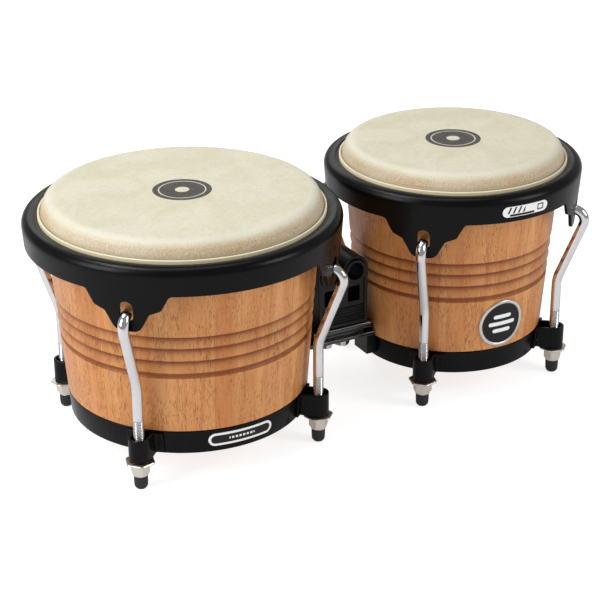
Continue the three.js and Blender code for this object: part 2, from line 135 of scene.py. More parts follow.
def rounded(corners, step_degrees=15, closed=True):
    """A path whose corners (x, y, radius) are rounded."""
    path = []
    count = len(corners)
    for index, (x, y, radius) in enumerate(corners):
        corner = Vector((x, y))
        inside = closed or 0 < index < count - 1
        if radius <= 0 or not inside:
            path.append(corner)
            continue
        back = (Vector(corners[index - 1][:2]) - corner).normalized()
        ahead = (Vector(corners[(index + 1) % count][:2]) - corner).normalized()
        half = back.angle(ahead) / 2
        if half > math.radians(88.5):
            path.append(corner)
            continue
        centre = corner + (back + ahead).normalized() * (radius / math.sin(half))
        spoke = corner + back * (radius / math.tan(half)) - centre
        turn = spoke.angle_signed(corner + ahead * (radius / math.tan(half)) - centre)
        steps = max(1, math.ceil(abs(turn) / math.radians(step_degrees)))
        for step in range(steps + 1):
            angle = -turn * step / steps
            path.append(centre + Matrix.Rotation(angle, 2) @ spoke)
    return path


def arc(centre_x, centre_y, radius_x, radius_y, start, end, steps):
    """Points of an ellipse, from one angle to another, in degrees."""
    points = []
    for step in range(steps + 1):
        angle = math.radians(start + (end - start) * step / steps)
        points.append((centre_x + radius_x * math.cos(angle), centre_y + radius_y * math.sin(angle)))
    return points


def polar(radius, angle, height, axis_x=0.0):
    return axis_x + radius * math.cos(angle), radius * math.sin(angle), height


def turned(profile, segments, axis_x=0.0, closed=True):
    """Vertices and faces of a (radius, height) profile turned about a vertical axis."""
    vertices, rows = [], []
    for radius, height in profile:
        if radius < 1e-6:
            rows.append([len(vertices)] * segments)
            vertices.append((axis_x, 0.0, height))
            continue
        rows.append(list(range(len(vertices), len(vertices) + segments)))
        for index in range(segments):
            vertices.append(polar(radius, TAU * index / segments, height, axis_x))
    faces = []
    last = len(rows) if closed else len(rows) - 1
    for row in range(last):
        lower, upper = rows[row], rows[(row + 1) % len(rows)]
        for index in range(segments):
            beside = (index + 1) % segments
            ring = [lower[index], lower[beside], upper[beside], upper[index]]
            face = list(dict.fromkeys(ring))
            if len(face) > 2:
                faces.append(face)
    return vertices, faces


def outward(profile):
    """The closed profile in the order that makes turned() face outwards."""
    points = [(p[0], p[1]) for p in profile]
    area = 0.0
    for (x0, y0), (x1, y1) in zip(points, points[1:] + points[:1]):
        area += x0 * y1 - x1 * y0
    return points if area > 0 else points[::-1]


def prism(outline, holes, low, high):
    """Vertices and faces of an outline with holes in XZ, raised along Y from low to high."""
    loops = [[tuple(p) for p in outline]] + [[tuple(p) for p in hole] for hole in holes]
    flat = [p for loop in loops for p in loop]
    count = len(flat)
    vertices = [(x, low, z) for x, z in flat] + [(x, high, z) for x, z in flat]
    caps = geometry.tessellate_polygon([[Vector((x, z, 0)) for x, z in loop] for loop in loops])
    faces = []
    for a, b, c in caps:
        faces.append((a, b, c))
        faces.append((c + count, b + count, a + count))
    start = 0
    for loop in loops:
        size = len(loop)
        for index in range(size):
            here, beside = start + index, start + (index + 1) % size
            faces.append((here, beside, beside + count, here + count))
        start += size
    return vertices, faces


def make_solid(name, vertices, faces, material, smooth_degrees, place=None):
    """A closed piece: doubled points are merged and the faces turned outwards."""
    piece = make_piece(name, vertices, faces, material, smooth_degrees, place)
    mesh = bmesh.new()
    mesh.from_mesh(piece.data)
    bmesh.ops.remove_doubles(mesh, verts=mesh.verts, dist=SAME_POINT)
    bmesh.ops.recalc_face_normals(mesh, faces=mesh.faces)
    mesh.to_mesh(piece.data)
    mesh.free()
    smooth(piece.data, smooth_degrees)
    return piece


def joined(meshes):
    """One mesh from several, each given as its vertices and faces."""
    vertices, faces = [], []
    for more_vertices, more_faces in meshes:
        faces += [tuple(i + len(vertices) for i in face) for face in more_faces]
        vertices += more_vertices
    return vertices, faces


def box_outline(width, height, radius, centre_x=0.0, centre_y=0.0, step_degrees=15):
    right, top = width / 2, height / 2
    corners = [(-right, -top), (right, -top), (right, top), (-right, top)]
    return rounded([(centre_x + x, centre_y + y, radius) for x, y in corners], step_degrees)


def circle_outline(radius, centre_x, centre_y, steps=40):
    return [Vector(p) for p in arc(centre_x, centre_y, radius, radius, 0, 360, steps)[:-1]]


# ---- material helpers
class Nodes:
    """A short way to write a material's node tree."""

    def __init__(self, name):
        self.material = bpy.data.materials.new(name)
        self.material.use_nodes = True
        self.tree = self.material.node_tree
        self.shader = self.tree.nodes["Principled BSDF"]
        self.coordinates = self.add("ShaderNodeTexCoord").outputs["Object"]

    def add(self, kind, **settings):
        node = self.tree.nodes.new(kind)
        for key, value in settings.items():
            setattr(node, key, value)
        return node

    def put(self, socket, value):
        if isinstance(value, bpy.types.NodeSocket):
            self.tree.links.new(value, socket)
        else:
            socket.default_value = value

    def math(self, operation, first, second=0.0):
        node = self.add("ShaderNodeMath", operation=operation)
        self.put(node.inputs[0], first)
        self.put(node.inputs[1], second)
        return node.outputs[0]

    def times(self, product, *factors):
        for factor in factors:
            product = self.math("MULTIPLY", product, factor)
        return product

    def without(self, value):
        """1 less the value."""
        return self.math("SUBTRACT", 1.0, value)

    def between(self, value, rise, risen, fall, fallen):
        """1 between a rising and a falling ramp, and 0 beyond them."""
        return self.times(self.ramp(value, rise, risen), self.without(self.ramp(value, fall, fallen)))

    def vector(self, operation, first, second):
        node = self.add("ShaderNodeVectorMath", operation=operation)
        self.put(node.inputs[0], first)
        self.put(node.inputs[1], second)
        return node.outputs["Vector"]

    def noise(self, vector, scale, detail=4.0, roughness=0.55, distortion=0.0):
        node = self.add("ShaderNodeTexNoise")
        self.put(node.inputs["Vector"], vector)
        settings = {"Scale": scale, "Detail": detail, "Roughness": roughness, "Distortion": distortion}
        for key, number in settings.items():
            node.inputs[key].default_value = number
        return node.outputs["Fac"]

    def ramp(self, value, low, high, to_low=0.0, to_high=1.0, smooth_step=True):
        node = self.add("ShaderNodeMapRange")
        node.interpolation_type = "SMOOTHSTEP" if smooth_step else "LINEAR"
        self.put(node.inputs["Value"], value)
        ends = {"From Min": low, "From Max": high, "To Min": to_low, "To Max": to_high}
        for key, number in ends.items():
            node.inputs[key].default_value = number
        return node.outputs["Result"]

    def mix(self, factor, first, second):
        node = self.add("ShaderNodeMix", data_type="RGBA")
        self.put(node.inputs["Factor"], factor)
        colour_inputs = [s for s in node.inputs if s.type == "RGBA"]
        self.put(colour_inputs[0], value_or_colour(first))
        self.put(colour_inputs[1], value_or_colour(second))
        return [s for s in node.outputs if s.type == "RGBA"][0]

    def bump(self, height, distance, strength):
        node = self.add("ShaderNodeBump")
        node.inputs["Strength"].default_value = strength
        node.inputs["Distance"].default_value = distance
        self.put(node.inputs["Height"], height)
        self.put(self.shader.inputs["Normal"], node.outputs["Normal"])

    def set(self, **values):
        for key, value in values.items():
            self.put(self.shader.inputs[key.replace("_", " ")], value)

    def about(self, drum):
        """The position from a drum's axis, as a vector and as its separate X, Y and Z."""
        local = self.vector("SUBTRACT", self.coordinates, (drum.x * MM, 0, 0))
        return local, self.separate(local)

    def separate(self, vector):
        node = self.add("ShaderNodeSeparateXYZ")
        self.put(node.inputs[0], vector)
        return node.outputs


def value_or_colour(value):
    if isinstance(value, (tuple, list)) and len(value) == 3:
        return (*value, 1.0)
    return value


# ---- materials
STAVES = 14


def wood_material(drum):
    """Varnished staves: fine upright grain, short dark pores, and grooves darkened by staining and painted
    shade.
    """
    n = Nodes(f"{drum.name}_shell_wood")
    _, place = n.about(drum)
    angle = n.math("ARCTAN2", place["Y"], place["X"])
    turn = n.times(angle, STAVES / TAU)
    stave = n.math("FLOOR", turn)
    within = n.math("FRACT", turn)
    chance = n.add("ShaderNodeTexWhiteNoise", noise_dimensions="1D")
    n.put(chance.inputs["W"], stave)
    across = n.times(angle, drum.radius * MM)
    shifted = n.times(chance.outputs["Value"], 3.0)

    def grain_space(stretch):
        joined = n.add("ShaderNodeCombineXYZ")
        n.put(joined.inputs["X"], across)
        n.put(joined.inputs["Y"], shifted)
        n.put(joined.inputs["Z"], n.times(place["Z"], stretch))
        return joined.outputs[0]

    broad = n.noise(grain_space(0.09), 70, 3, 0.5, 0.6)
    streak = n.noise(grain_space(0.05), 430, 4, 0.6, 0.3)
    hair = n.noise(grain_space(0.04), 1700, 2, 0.6)
    pore_noise = n.noise(grain_space(0.11), 2400, 1.5, 0.5)
    pores = n.ramp(pore_noise, 0.555, 0.65)
    pore_places = n.ramp(n.noise(grain_space(0.3), 90, 2, 0.5), 0.34, 0.60, 0.25, 1.0)
    pores = n.times(pores, pore_places)
    tone = n.mix(n.ramp(broad, 0.2, 0.8), WOOD_LIGHT, WOOD_MID)
    tone = n.mix(n.ramp(streak, 0.48, 0.70, 0.0, 0.45), tone, WOOD_DARK)
    tone = n.mix(n.ramp(hair, 0.5, 0.72, 0.0, 0.45), tone, WOOD_DARK)
    stave_tone = n.ramp(chance.outputs["Value"], 0, 1, 0.0, 0.16, False)
    tone = n.mix(stave_tone, tone, WOOD_RED)
    tone = n.mix(n.times(pores, 0.62), tone, WOOD_PORE)
    seam = n.without(n.ramp(n.math("PINGPONG", within, 0.5), 0.0, 0.008))
    tone = n.mix(n.times(seam, 0.22), tone, WOOD_PORE)
    # The coves and the groove are darkened by staining and painted shade, from the turned profile.
    groove = n.add("ShaderNodeAttribute", attribute_name="groove").outputs["Fac"]
    tone = n.mix(n.times(groove, 0.92), tone, WOOD_GROOVE)
    n.set(Base_Color=tone, Roughness=n.ramp(streak, 0.3, 0.7, 0.30, 0.42), Specular_IOR_Level=0.25)
    n.set(Coat_Weight=0.06, Coat_Roughness=0.22)
    height = n.math("SUBTRACT", n.times(hair, 0.25), pores)
    n.bump(n.math("SUBTRACT", height, seam), 0.00012, 0.8)
    return n.material


WOOD_LIGHT = (0.66, 0.320, 0.115)
WOOD_MID = (0.52, 0.198, 0.058)
WOOD_DARK = (0.36, 0.115, 0.030)
WOOD_RED = (0.46, 0.145, 0.040)
WOOD_PORE = (0.14, 0.036, 0.010)
# colour of the staining and painted shade in the coves and the groove
WOOD_GROOVE = (0.175, 0.030, 0.006)

PRINT_RADIUS = 22.4  # of the round print in the middle of a head, in millimetres
PRINT_LINE = (0.0170, 0.0172, 0.0180, 0.0182)  # radii, in metres, of the bare ring in the print
PRINT_HUB = (0.0052, 0.0055)
# Bands of the skin, in metres: where a tone starts, is full, begins to fade, and has gone. Bend,
# crease and lip are measured outwards from the radius that the head starts from, collar upwards.
BEND_BAND = (0.0035, 0.0075, 0.0095, 0.0125)
CREASE_BAND = (0.0153, 0.0157, 0.0161, 0.0164)
LIP_START = (0.0162, 0.0165)
COLLAR_BAND = (0.1842, 0.1856, 0.1902, 0.1952)
INSIDE_RIM = (0.1795, 0.1815)  # heights, in metres, below which the skin is in the rim's shade
PLAYING_FACE = (0.190, 0.195)  # heights, in metres, above which the print shows


def rawhide_material(drum):
    """Pale rawhide: cloudy, speckled, tanned at the bend, and yellow where it meets the rim."""
    n = Nodes(f"{drum.name}_rawhide")
    local, place = n.about(drum)
    x_squared = n.math("POWER", place["X"], 2.0)
    y_squared = n.math("POWER", place["Y"], 2.0)
    radius = n.math("SQRT", n.math("ADD", x_squared, y_squared))
    cloud = n.noise(local, 24, 5, 0.6, 0.8)
    speckle = n.noise(local, 420, 3, 0.6)
    fibre = n.noise(local, 1500, 3, 0.65)
    tone = n.mix(n.ramp(cloud, 0.35, 0.68), HIDE_LIGHT, HIDE_WARM)
    tone = n.mix(n.ramp(speckle, 0.48, 0.72, 0.0, 0.45), tone, HIDE_SPECK)
    tone = n.mix(n.ramp(fibre, 0.5, 0.8, 0.0, 0.3), tone, HIDE_SPECK)
    edge = drum.radius * MM
    bend = n.between(radius, *(edge + at for at in BEND_BAND))
    tone = n.mix(n.times(bend, 0.4), tone, HIDE_PALE)
    grains = n.ramp(n.noise(local, 900, 3, 0.7), 0.36, 0.62, 0.25, 1.0)
    patches = n.ramp(n.noise(local, 22, 3, 0.5, 0.3), 0.30, 0.62, 0.5, 1.0)
    patches = n.times(patches, grains)
    collar = n.between(place["Z"], *COLLAR_BAND)
    tone = n.mix(n.times(n.times(collar, patches), 0.95), tone, HIDE_TAN)
    crease = n.between(radius, *(edge + at for at in CREASE_BAND))
    tone = n.mix(n.times(crease, 0.6), tone, HIDE_CREASE)
    lip = n.ramp(radius, *(edge + at for at in LIP_START))
    tone = n.mix(n.times(lip, 0.9), tone, HIDE_LIP)
    inner = n.ramp(place["Z"], *INSIDE_RIM, 1.0, 0.0)
    tone = n.mix(n.times(inner, lip), tone, HIDE_DARK)
    printed = n.without(n.ramp(radius, (PRINT_RADIUS - 0.3) * MM, PRINT_RADIUS * MM))
    line = n.between(radius, *PRINT_LINE)
    hub = n.without(n.ramp(radius, *PRINT_HUB))
    bare = n.math("MAXIMUM", line, hub)
    ink = n.times(printed, n.without(bare))
    ink = n.times(ink, n.ramp(speckle, 0.30, 0.42, 0.86, 0.97))
    facing_up = n.ramp(place["Z"], *PLAYING_FACE)
    tone = n.mix(n.times(ink, facing_up), tone, PRINT_INK)
    n.set(Base_Color=tone, Roughness=n.ramp(speckle, 0.3, 0.7, 0.5, 0.66), Subsurface_Weight=0.12)
    n.set(Subsurface_Radius=(0.004, 0.003, 0.002), Subsurface_Scale=0.5)
    n.bump(n.math("ADD", fibre, n.times(speckle, 1.5)), 0.00010, 0.7)
    return n.material


HIDE_LIGHT = (0.665, 0.635, 0.495)
HIDE_WARM = (0.61, 0.57, 0.415)
HIDE_SPECK = (0.53, 0.48, 0.33)
HIDE_TAN = (0.50, 0.31, 0.155)
HIDE_PALE = (0.72, 0.70, 0.61)
HIDE_CREASE = (0.22, 0.13, 0.06)
HIDE_LIP = (0.80, 0.72, 0.50)
HIDE_DARK = (0.16, 0.12, 0.06)
PRINT_INK = (0.030, 0.026, 0.024)


def coated_material(name, colour, roughness, shine, grain_scale, grain_height):
    """Powder coat or paint over metal: a fine skin texture and slightly worn high spots."""
    n = Nodes(name)
    peel = n.noise(n.coordinates, grain_scale, 3, 0.55)
    cloud = n.noise(n.coordinates, 30, 4, 0.6)
    worn = n.ramp(n.noise(n.coordinates, 210, 5, 0.7), 0.66, 0.78, 0.0, 0.3)
    lighter = tuple(c * 2.4 + 0.004 for c in colour)
    n.set(
        Base_Color=n.mix(worn, colour, lighter),
        Roughness=n.ramp(cloud, 0.3, 0.7, roughness - 0.05, roughness + 0.06),
    )
    n.set(Specular_IOR_Level=shine)
    n.bump(peel, grain_height, 0.6)
    return n.material


def plated_material(name, colour, low, high, streak_scale=900):
    """Chrome or nickel plate with faint polishing marks and a few duller patches."""
    n = Nodes(name)
    stretched = n.vector("MULTIPLY", n.coordinates, (1, 1, 0.15))
    marks = n.noise(stretched, streak_scale, 3, 0.6)
    patches = n.noise(n.coordinates, 70, 4, 0.6)
    both = n.math("ADD", n.times(marks, 0.4), n.times(patches, 0.6))
    dull = tuple(c * 0.82 for c in colour)
    n.set(
        Base_Color=n.mix(n.ramp(patches, 0.45, 0.75, 0, 0.6), colour, dull),
        Roughness=n.ramp(both, 0.35, 0.65, low, high),
    )
    n.set(Metallic=1.0)
    n.bump(marks, 0.00002, 0.25)
    return n.material


def rubber_material():
    n = Nodes("foot_rubber")
    dust = n.noise(n.coordinates, 600, 5, 0.7)
    n.set(
        Base_Color=n.mix(n.ramp(dust, 0.55, 0.8, 0, 0.5), (0.012, 0.012, 0.013), (0.05, 0.05, 0.05)),
        Roughness=n.ramp(dust, 0.3, 0.7, 0.5, 0.72),
    )
    n.bump(dust, 0.00005, 0.6)
    return n.material


PRINT_BLUR = 0.12  # half the width, in millimetres, over which ink begins


def near(n, value, middle, half_width):
    """1 where a length in millimetres lies within half_width of middle, and 0 beyond."""
    away = n.math("ABSOLUTE", n.math("SUBTRACT", value, middle))
    return n.ramp(away, half_width - PRINT_BLUR, half_width + PRINT_BLUR, 1.0, 0.0)


def film_material(name, drum, height, artwork):
    """A printed film on the -Y side: artwork(n, across, up) is 1 where the ink is white."""
    n = Nodes(name)
    place = n.separate(n.coordinates)
    across = n.math("SUBTRACT", n.math("DIVIDE", place["X"], MM), drum.x)
    up = n.math("SUBTRACT", n.math("DIVIDE", place["Z"], MM), height)
    dust = n.noise(n.coordinates, 300, 4, 0.6)
    white = n.mix(n.ramp(dust, 0.5, 0.8, 0, 0.5), FILM_WHITE, FILM_GREY)
    n.set(
        Base_Color=n.mix(artwork(n, across, up), FILM_BLACK, white),
        Roughness=n.ramp(dust, 0.3, 0.7, 0.3, 0.42),
    )
    n.set(Specular_IOR_Level=0.2)
    n.bump(dust, 0.00002, 0.3)
    return n.material


def pill_distance(n, across, up, straight):
    """Distance from the middle line of a pill whose straight part has this half length."""
    beyond = n.math("MAXIMUM", n.math("SUBTRACT", n.math("ABSOLUTE", across), straight), 0.0)
    squares = n.math("ADD", n.math("POWER", beyond, 2.0), n.math("POWER", up, 2.0))
    return n.math("SQRT", squares)


def outlined_pill(n, across, up):
    """A white outline round a row of small white dashes."""
    away = pill_distance(n, across, up, RING_LABEL["half_width"] - RING_LABEL["half_height"])
    outline = n.ramp(away, 3.3, 3.6)
    dash = n.math("PINGPONG", across, 1.5)
    dashes = n.times(n.ramp(dash, 0.5, 0.7), near(n, up, 0.0, 0.9))
    dashes = n.times(dashes, near(n, across, 0.0, 10.4))
    return n.math("MAXIMUM", outline, dashes)


def striped_pill(n, across, up):
    """White, with slanted dark stripes and a dark bar on one side and a dark frame on the other."""
    slanted = n.math("SUBTRACT", across, n.times(up, 0.4))
    stripes = n.times(near(n, n.math("PINGPONG", slanted, 2.2), 2.2, 0.8), near(n, across, -9, 7.6))
    stripes = n.times(stripes, near(n, up, 1.2, 2.6))
    bar = n.times(near(n, up, -2.9, 0.9), near(n, across, -3.5, 11.0))
    frame_line = n.times(near(n, across, 13.2, 3.0), near(n, up, 0.2, 2.6))
    hollow = n.times(near(n, across, 13.2, 2.0), near(n, up, 0.2, 1.6))
    dark = n.math("MAXIMUM", n.math("MAXIMUM", stripes, bar), n.math("SUBTRACT", frame_line, hollow))
    return n.without(dark)


def badge_artwork(n, across, up):
    """Three rounded white bars, the middle one the longest."""
    art = None
    for height, half_length in ((-6.2, 6.5), (0.0, 10.5), (6.2, 6.5)):
        away = pill_distance(n, across, n.math("SUBTRACT", up, height), half_length)
        bar = n.ramp(away, 1.55, 1.8, 1.0, 0.0)
        art = bar if art is None else n.math("MAXIMUM", art, bar)
    return art


FILM_WHITE = (0.80, 0.79, 0.79)
FILM_GREY = (0.70, 0.69, 0.69)
FILM_BLACK = (0.012, 0.011, 0.011)

BLACK_COAT = coated_material("black_powder_coat", (0.0018, 0.0014, 0.0017), 0.28, 0.16, 1300, 0.00003)
CAST_BLACK = coated_material("cast_black", (0.0042, 0.004, 0.0046), 0.34, 0.3, 2200, 0.00009)
BAR_COAT = coated_material("bar_paint", (0.003, 0.003, 0.0036), 0.16, 1.0, 900, 0.00003)
CHROME = plated_material("polished_chrome", (0.78, 0.78, 0.80), 0.05, 0.12)
NICKEL = plated_material("warm_nickel", (0.80, 0.755, 0.68), 0.30, 0.44, 500)
RUBBER = rubber_material()
BADGE_METAL = plated_material("badge_metal", (0.74, 0.73, 0.71), 0.28, 0.4)


# ---- shell
SHELL_SEGMENTS = 176
SHELL_BOTTOM = 25.6
SHELL_WALL = 9.5
SHELL_SHOULDER = 172.0
RING_GAP = 0.3
RING_WALL = 2.0
COVE_LEDGES = (101.4, 111.6, 121.1)  # each cove ends in a sharp ledge at its top
COVE_DEPTH = 1.9
COVE_DEEPEST = 0.9  # how far up the cove it is deepest
COVE_STEPS = 20
LEDGE_SHADE = 0.8  # how far under a ledge the staining and painted shade stay at their darkest
GROOVE_BOTTOM = 86.8
GROOVE_TOP = 91.6
GROOVE_DEPTH = 1.7
GROOVE_STEPS = 12


def turned_band():
    """Rows up the coves and the groove: (height, depth of the cut, staining and painted shade gathered in
    it).
    """
    rows = [(GROOVE_BOTTOM, 0.0, 0.0)]
    for step in range(1, GROOVE_STEPS):
        t = step / GROOVE_STEPS
        swell = math.sin(math.pi * t) ** 0.55
        height = GROOVE_BOTTOM + t * (GROOVE_TOP - GROOVE_BOTTOM)
        # Staining plus painted shade, darkest in the middle of the groove.
        rows.append((height, GROOVE_DEPTH * swell, 0.88 * swell))
    ridge = GROOVE_TOP
    for ledge in COVE_LEDGES:
        rows.append((ridge, 0.0, 0.0))
        stations = [step / COVE_STEPS for step in range(1, COVE_STEPS)] + [0.965, 0.985, 0.997]
        for t in sorted(stations):
            over = max(0.0, (t - COVE_DEEPEST) / (1 - COVE_DEEPEST))
            depth = COVE_DEPTH * min(1.0, t / COVE_DEEPEST) ** 1.15 * math.sqrt(1 - over * over)
            below = (1 - t) * (ledge - ridge)
            in_sight = max(0.0, below - LEDGE_SHADE)
            # Staining plus painted shade, darkest just under the ledge and fading down the cove.
            stain_and_shade = 0.60 * math.exp(-((in_sight / 3.0) ** 2)) + 0.42 * t**1.5
            rows.append((ridge + t * (ledge - ridge), depth, min(1.0, stain_and_shade)))
        rows.append((ledge, 0.0, 0.3))
        rows.append((ledge + 0.4, 0.0, 0.0))
        ridge = ledge
    return rows


def shell_profile(drum):
    """(radius, height) points of the wall, and the staining and painted shade on the points of its turned
    band.
    """
    rebate = RING_WALL + RING_GAP
    step_height = RING_TOP + RING_GAP
    foot = [(drum.cone(SHELL_BOTTOM, -rebate), SHELL_BOTTOM, 1.0)]
    foot += [(drum.cone(step_height, -rebate), step_height, 0), (drum.cone(step_height), step_height, 0.5)]
    foot += [(drum.cone(h), h, 0) for h in (50, 60, 70, 78, GROOVE_BOTTOM - 0.4)]
    foot = [tuple(p) for p in rounded(foot, closed=False)]
    band = [(drum.cone(height, -depth), height) for height, depth, _ in turned_band()]
    upper = [(drum.cone(h), h) for h in (128, 140, 150, 162, SHELL_SHOULDER)]
    top = drum.radius
    crest = rounded(
        [
            (*upper[-1], 0), (top + 12.9, 185, 3), (top + 12.2, 189.4, 4), (top + 10.4, 192.6, 4),
            (top + 7.4, 194.3, 2), (top + 4.2, 192.4, 2), (top + 2.6, 187, 3),
            (drum.cone(SHELL_BOTTOM, -SHELL_WALL), SHELL_BOTTOM, 1.2), (*foot[0], 0),
        ],
        closed=False,
    )
    profile = foot + band + upper + [tuple(p) for p in crest[1:-1]]
    stain_and_shade = [0.0] * len(foot) + [row[2] for row in turned_band()]
    stain_and_shade += [0.0] * (len(profile) - len(stain_and_shade))
    return profile, stain_and_shade


def build_shell(drum, material):
    profile, stain_and_shade = shell_profile(drum)
    vertices, faces = turned(profile, SHELL_SEGMENTS, drum.x)
    shell = make_piece(f"{drum.name}_turned_shell", vertices, faces, material, 50)
    stain_and_shade_layer = shell.data.attributes.new("groove", "FLOAT", "POINT")
    stain_and_shade_layer.data.foreach_set("value", [value for value in stain_and_shade for _ in range(SHELL_SEGMENTS)])
    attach(shell, "frame")
    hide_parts(f"{drum.name}_shell")


# ---- head
HEAD_TOP = 196.3
HEAD_UNDERSIDE = 194.8
HEAD_SEGMENTS = 192
RIPPLE_ABOVE = 180.5  # the skin ripples above this height
RIPPLE = 0.14
EDGE_RIPPLE = 0.22


def head_profile(drum):
    """The whole skin in section: crown, bend, collar, round the hoop, and back underneath."""
    r = drum.radius
    crown = [(r * t / 8, HEAD_TOP) for t in range(8)]
    outside = rounded(
        [
            (r, HEAD_TOP, 0), (r + 9.4, 196.25, 9), (r + 13.4, 191.6, 7), (r + 15.2, 187.0, 6),
            (r + 15.7, 183.3, 0.3), (r + 16.2, 183.2, 0.2), (r + 16.7, 184.5, 0.6),
            (r + 18.0, 184.2, 0.7), (r + 18.15, 180.6, 1), (r + 17.9, 178.9, 0.8), (r + 22, 179.0, 3),
            (r + 26.4, 178.4, 4.2), (r + 26.4, 169.8, 4.2), (r + 17.2, 169.8, 4.2),
            (r + 16.4, 180.4, 3), (r + 13.9, 185.8, 8), (r + 11.7, 191.6, 5),
            (r + 8.8, 194.75, 7), (r, HEAD_UNDERSIDE, 0),
        ],
        10,
        closed=False,
    )
    inside = [(r * t / 8, HEAD_UNDERSIDE) for t in range(7, -1, -1)]
    return crown + [tuple(p) for p in outside] + inside


def build_head(drum, material):
    vertices, faces = turned(head_profile(drum)[::-1], HEAD_SEGMENTS, drum.x, closed=False)
    head = make_piece(f"{drum.name}_skin", vertices, faces, material, 60)
    for vertex in head.data.vertices:
        # A real hide is never quite flat: it ripples by a tenth or two of a millimetre.
        place = vertex.co / MM
        reach = math.hypot(place.x - drum.x, place.y) - drum.radius
        if place.z > RIPPLE_ABOVE:
            ripple = noise.noise(Vector((place.x, place.y, drum.radius)) * 0.045)
            around = noise.noise(Vector((place.x, place.y, 3.0)) * 0.16) if reach > 0 else 0.0
            vertex.co.z -= (RIPPLE * abs(ripple) + EDGE_RIPPLE * abs(around)) * MM
    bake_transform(head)
    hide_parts(f"{drum.name}_head", f"{drum.name}_flesh_hoop")


# ---- rim
RIM_OFFSET = 30.3
RIM_WIDEST = 176.0
RIM_WALL = 2.6
RIM_JOIN = 163.6  # below this height the wall is cut to the outline of the tabs
RIM_EDGE = 161.6
RIM_STEP_DEGREES = 2.5
BEYOND_TABS = 99.0  # stands for the distance from a tab's centre, between two tabs
SLOT_HALF = 5.0
SLOT_BOTTOM = 140.8
SLOT_TOP = 156.0
SLOT_LOW_ROUND = 3.5
SLOT_HIGH_ROUND = 4.9
TAB_CORNERS = [
    (0, 132.5, 0), (9.0, 132.5, 8.0), (16.8, 146.9, 1.6),
    (25.2, 150.2, 3.5), (31.2, RIM_EDGE, 3.2), (36, RIM_EDGE, 0),
]


def interpolate(path, at):
    for (x0, y0), (x1, y1) in zip(path, path[1:]):
        if x0 <= at <= x1:
            return y0 + (y1 - y0) * (at - x0) / max(x1 - x0, 1e-9)
    return path[-1][1]


def corner_drop(at, radius):
    """Height of a slot's rounded corner above its flat end, at a distance from its centre."""
    beyond = max(0.0, at - (SLOT_HALF - radius))
    return radius - math.sqrt(max(radius * radius - beyond * beyond, 0.0))


def tab_columns():
    """Stations across half a tab: (distance from its centre, lower edge, slot low, slot high)."""
    edge = [tuple(p) for p in rounded(TAB_CORNERS, 10, closed=False)]
    stations = [0, 1, 2, 3, 3.7, 4.2, 4.6, 4.85, 5.0, 5.5, 6.3, 7.0]
    stations += [x for x, _ in edge if x > 7.2]
    stations += [20.5, 22.5, 28.5]
    stations = sorted(set(round(s, 3) for s in stations))
    side_low = SLOT_BOTTOM + SLOT_LOW_ROUND
    side_high = SLOT_TOP - SLOT_HIGH_ROUND
    beside = interpolate(edge, SLOT_HALF)
    columns = []
    for at in stations:
        low = interpolate(edge, at)
        if at <= SLOT_HALF:
            slot_low = SLOT_BOTTOM + corner_drop(at, SLOT_LOW_ROUND)
            slot_high = SLOT_TOP - corner_drop(at, SLOT_HIGH_ROUND)
        else:
            slot_low = low + (RIM_JOIN - low) * (side_low - beside) / (RIM_JOIN - beside)
            slot_high = low + (RIM_JOIN - low) * (side_high - beside) / (RIM_JOIN - beside)
        columns.append((at, low, slot_low, slot_high))
    return columns


def rim_upper_profile(drum):
    """The rim above its cut wall: up the outside, over the roll, round the lip, down the inside."""
    r = drum.radius
    outer = r + RIM_OFFSET
    path = [(outer - TAPER * (RIM_WIDEST - h), h) for h in (RIM_JOIN, 167, 170.5, 173.5)]
    path += arc(r + 23.6, RIM_WIDEST, outer - r - 23.6, 6.75, 0, 90, 12)
    path += [(r + 21.8, 182.62), (r + 20.3, 182.3)]
    path += arc(r + 19.6, 180.8, 1.25, 1.25, 75, 255, 7)
    path += [(r + 21.5, 179.9), (r + 23.4, 180.2)]
    path += arc(r + 23.6, RIM_WIDEST, outer - r - 23.6 - RIM_WALL, 4.2, 85, 0, 8)
    path += [(outer - RIM_WALL - TAPER * (RIM_WIDEST - h), h) for h in (170.5, RIM_JOIN)]
    return path


def rim_wall_offset(drum):
    """How far the rim's outer wall stands off the shell's cone."""
    return drum.radius + RIM_OFFSET - drum.cone(RIM_WIDEST)


